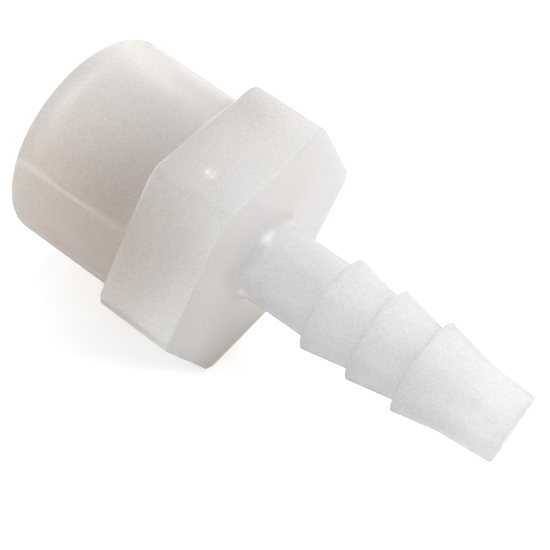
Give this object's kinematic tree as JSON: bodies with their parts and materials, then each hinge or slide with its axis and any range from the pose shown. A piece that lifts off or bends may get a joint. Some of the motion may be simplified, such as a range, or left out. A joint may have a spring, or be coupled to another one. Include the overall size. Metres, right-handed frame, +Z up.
{
  "type": "hose barb fitting",
  "caption": "Moulded nylon adapter: female pipe-thread socket, wrench hexagon and a barbed tail that a flexible hose pushes over.",
  "frame": {"origin": "on the fitting's axis, at the face of the socket's mouth", "axes": "+X along the axis from the socket's mouth to the barb's tip, +Z up, square to the hexagon flat that the fitting rests on"},
  "size_m": [0.0423, 0.0236, 0.0206],
  "materials": {
    "natural_nylon": "semi-gloss, slightly see-through moulded nylon"
  },
  "bodies": {
    "root": {"barb_fitting": "natural_nylon"}
  },
  "joints": []
}
